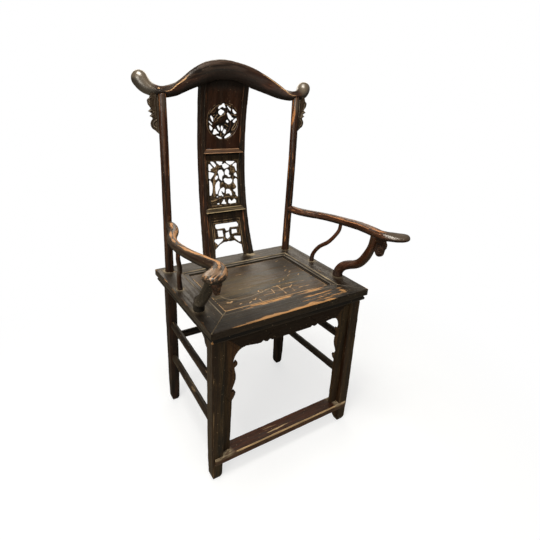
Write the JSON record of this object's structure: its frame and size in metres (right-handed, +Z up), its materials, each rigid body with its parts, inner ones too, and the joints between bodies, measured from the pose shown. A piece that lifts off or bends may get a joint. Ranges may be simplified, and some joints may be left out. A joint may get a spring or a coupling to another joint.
{
  "type": "officials hat armchair",
  "caption": "Yoke-back wooden armchair with a bowed openwork splat, curved arms, a framed panel seat, arched aprons, stretchers and a footrest board between the front legs.",
  "frame": {"origin": "on the floor, under the middle of the chair's bounding box", "axes": "+Z up; the chair faces -Y, so +Y runs to its back; +X to the right as seen from its front, where the nodes named right_ are"},
  "size_m": [0.6484, 0.5896, 1.1717],
  "materials": {
    "crest_wood": "dark lacquer worn smooth, polished at the ends",
    "post_wood": "dark lacquer, worn reddish on the fronts",
    "leg_wood": "dark lacquer, dull, worn at the corners",
    "arm_wood": "lacquer worn through to tan wood by hands, glossy",
    "carved_wood": "dark lacquer with dust in the carving",
    "splat_frame_wood": "reddish lacquer, satin",
    "splat_panel_wood": "dark lacquer, satin",
    "seat_frame_wood": "olive brown lacquer, streaked with wear",
    "seat_panel_wood": "olive brown lacquer, scratched, satin",
    "bare_wood": "bare aged wood",
    "apron_wood": "dark lacquer, satin",
    "footrest_wood": "reddish brown, worn by feet",
    "stretcher_wood": "olive brown lacquer, worn"
  },
  "bodies": {
    "root": {"crest_rail": "crest_wood", "left_rear_post": "post_wood", "right_rear_post": "post_wood", "left_front_leg": "leg_wood", "right_front_leg": "leg_wood", "left_arm": "arm_wood", "right_arm": "arm_wood", "left_goose_neck": "post_wood", "right_goose_neck": "post_wood", "left_arm_spindle": "post_wood", "right_arm_spindle": "post_wood", "left_arm_bracket": "carved_wood", "right_arm_bracket": "carved_wood", "left_crest_ear": "carved_wood", "right_crest_ear": "carved_wood", "splat_left_stile": "splat_frame_wood", "splat_right_stile": "splat_frame_wood", "splat_upper_rail": "splat_frame_wood", "splat_lower_rail": "splat_frame_wood", "splat_top_panel": "splat_panel_wood", "splat_middle_panel": "splat_panel_wood", "splat_lower_panel": "splat_panel_wood", "seat_front_rail": "seat_frame_wood", "seat_back_rail": "seat_frame_wood", "seat_left_rail": "seat_frame_wood", "seat_right_rail": "seat_frame_wood", "seat_panel": "seat_panel_wood", "left_seat_batten": "bare_wood", "right_seat_batten": "bare_wood", "front_apron": "apron_wood", "left_spandrel": "apron_wood", "right_spandrel": "apron_wood", "left_side_apron": "apron_wood", "right_side_apron": "apron_wood", "back_apron": "apron_wood", "footrest": "footrest_wood", "left_upper_stretcher": "stretcher_wood", "right_upper_stretcher": "stretcher_wood", "left_lower_stretcher": "stretcher_wood", "right_lower_stretcher": "stretcher_wood", "back_stretcher": "stretcher_wood"}
  },
  "joints": []
}
